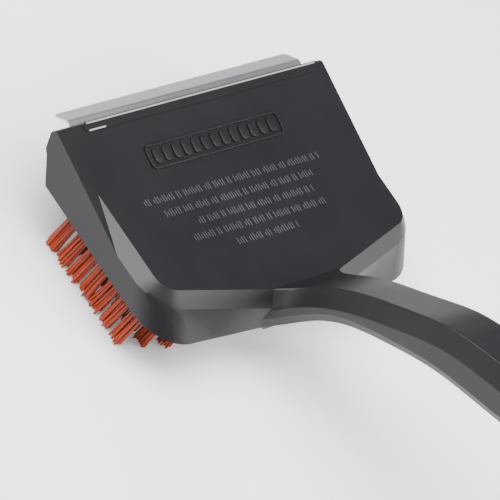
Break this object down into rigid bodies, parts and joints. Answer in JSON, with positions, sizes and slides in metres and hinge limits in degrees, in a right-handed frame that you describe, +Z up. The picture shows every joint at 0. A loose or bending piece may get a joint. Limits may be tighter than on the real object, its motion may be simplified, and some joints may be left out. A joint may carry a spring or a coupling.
{
  "type": "grill cleaning brush",
  "caption": "Wide plastic grill brush with a steel front scraper, stiff nylon tufts in a tilt-out block held by a rear release tab, and a long rising handle with a hanging hole.",
  "frame": {"origin": "middle of the whole brush's footprint, on the plane of the bristle tips", "axes": "+X from the scraper towards the handle's end, +Z up, away from the bristle tips, Y = 0 the middle plane"},
  "size_m": [0.45, 0.18, 0.1561],
  "materials": {
    "cover_plastic": "satin black, very fine moulded texture",
    "lower_plastic": "satin black, very fine moulded texture",
    "blade_steel": "brushed stainless sheet",
    "screw_steel": "zinc-plated",
    "spring_steel": "bright spring steel",
    "block_plastic": "black moulded plastic",
    "tab_plastic": "satin black",
    "bristle": "orange-red nylon filament",
    "anchor_steel": "flat wire"
  },
  "bodies": {
    "handle": {"upper_shell": "cover_plastic", "lower_shell": "lower_plastic", "end_cap": "lower_plastic", "shell_screws": "screw_steel", "scraper_blade": "blade_steel", "pivot_pin": "screw_steel", "tab_spring": "spring_steel"},
    "tab": {"release_tab": "tab_plastic", "latch_clip": "spring_steel", "clip_rivets": "screw_steel"},
    "brush_head": {"brush_block": "block_plastic", "corner_tufts": "bristle", "tuft_row_1": "bristle", "tuft_row_2": "bristle", "tuft_row_3": "bristle", "tuft_row_4": "bristle", "tuft_row_5": "bristle", "tuft_row_6": "bristle", "tuft_row_7": "bristle", "tuft_row_8": "bristle", "anchor_row_1": "anchor_steel", "anchor_row_2": "anchor_steel", "anchor_row_3": "anchor_steel", "anchor_row_4": "anchor_steel", "anchor_row_5": "anchor_steel", "anchor_row_6": "anchor_steel", "anchor_row_7": "anchor_steel", "anchor_row_8": "anchor_steel"}
  },
  "joints": [
    {"name": "tab_press", "type": "hinge", "parent": "handle", "child": "tab", "pos_m": [-0.1188, 0, 0.0288], "axis": [0, -1, 0], "range_deg": [0, 14], "stiffness_Nm_per_rad": 0.02, "springref_deg": -28.65, "deforming": ["tab_spring", "latch_clip"]},
    {"name": "head_tilt", "type": "hinge", "parent": "handle", "child": "brush_head", "pos_m": [-0.1992, 0, 0.0243], "axis": [0, 1, 0], "range_deg": [0, 30], "deforming": ["latch_clip"]}
  ]
}
